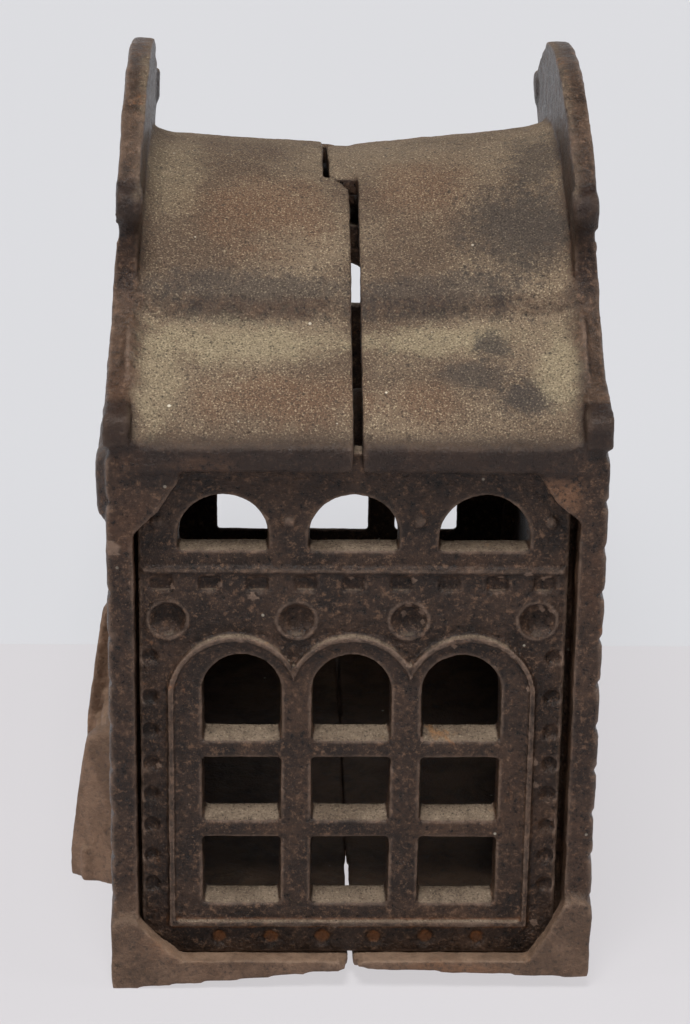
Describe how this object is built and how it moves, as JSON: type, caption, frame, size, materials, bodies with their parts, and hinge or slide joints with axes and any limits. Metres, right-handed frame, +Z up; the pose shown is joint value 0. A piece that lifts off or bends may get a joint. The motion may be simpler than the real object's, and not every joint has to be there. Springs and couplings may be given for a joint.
{
  "type": "cast iron building still bank",
  "caption": "Money box shaped as a gabled hall: cast halves drawn together by a tie screw, pierced window panels at the ends, two-tier roof with a coin slot at the seam.",
  "frame": {"origin": "centre of the bounding box of the whole bank, on the plane it stands on", "axes": "+X from the street facade to the rear facade, +Y along the facades, +Z up"},
  "size_m": [0.0726, 0.105, 0.1132],
  "materials": {
    "castings": "old brown-black japanning, worn and dusty, sandy cast skin",
    "panels": "old brown-black japanning, dusty sills",
    "fixings": "dull browned steel"
  },
  "bodies": {
    "back_half": {"back_casting": "castings"},
    "front_half": {"front_casting": "castings", "tie_nut": "fixings"},
    "near_panel": {"near_side_panel": "panels"},
    "far_panel": {"far_side_panel": "panels"},
    "screw": {"tie_screw": "fixings"}
  },
  "joints": [
    {"name": "front_pull", "type": "slide", "parent": "back_half", "child": "front_half", "axis": [-1, 0, 0], "range_m": [0, 0.045]},
    {"name": "near_panel_slide", "type": "slide", "parent": "back_half", "child": "near_panel", "axis": [-1, 0, 0], "range_m": [0, 0.0225]},
    {"name": "far_panel_slide", "type": "slide", "parent": "back_half", "child": "far_panel", "axis": [-1, 0, 0], "range_m": [0, 0.0225]},
    {"name": "screw_turn", "type": "hinge", "parent": "back_half", "child": "screw", "pos_m": [0.0021, 0, 0.0607], "axis": [1, 0, 0], "continuous": true}
  ],
  "couplings": [
    {"joint": "near_panel_slide", "follows": "front_pull", "ratio": 0.5},
    {"joint": "far_panel_slide", "follows": "front_pull", "ratio": 0.5}
  ]
}
